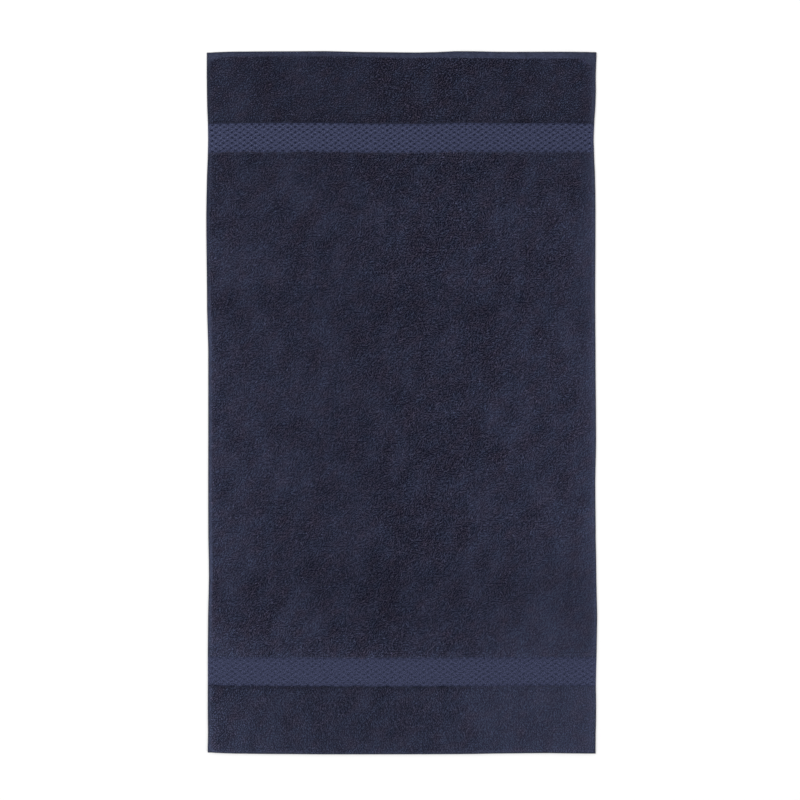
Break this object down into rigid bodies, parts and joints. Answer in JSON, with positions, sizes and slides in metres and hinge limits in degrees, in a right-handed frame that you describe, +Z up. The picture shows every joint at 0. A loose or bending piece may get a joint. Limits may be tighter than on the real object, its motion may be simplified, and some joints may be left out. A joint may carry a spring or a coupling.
{
  "type": "hand towel",
  "caption": "Flat rectangular terry hand towel with looped pile on both faces, a sunken honeycomb-woven border across it near each end, and a narrow hem all round.",
  "frame": {"origin": "on the surface that the towel lies on, under the middle of the towel's box", "axes": "+X across the towel, +Y along its length, +Z up out of the surface"},
  "size_m": [0.5038, 0.9064, 0.0046],
  "materials": {
    "terry": "matt looped cotton pile with flat woven borders"
  },
  "bodies": {
    "root": {"towel": "terry"}
  },
  "joints": []
}
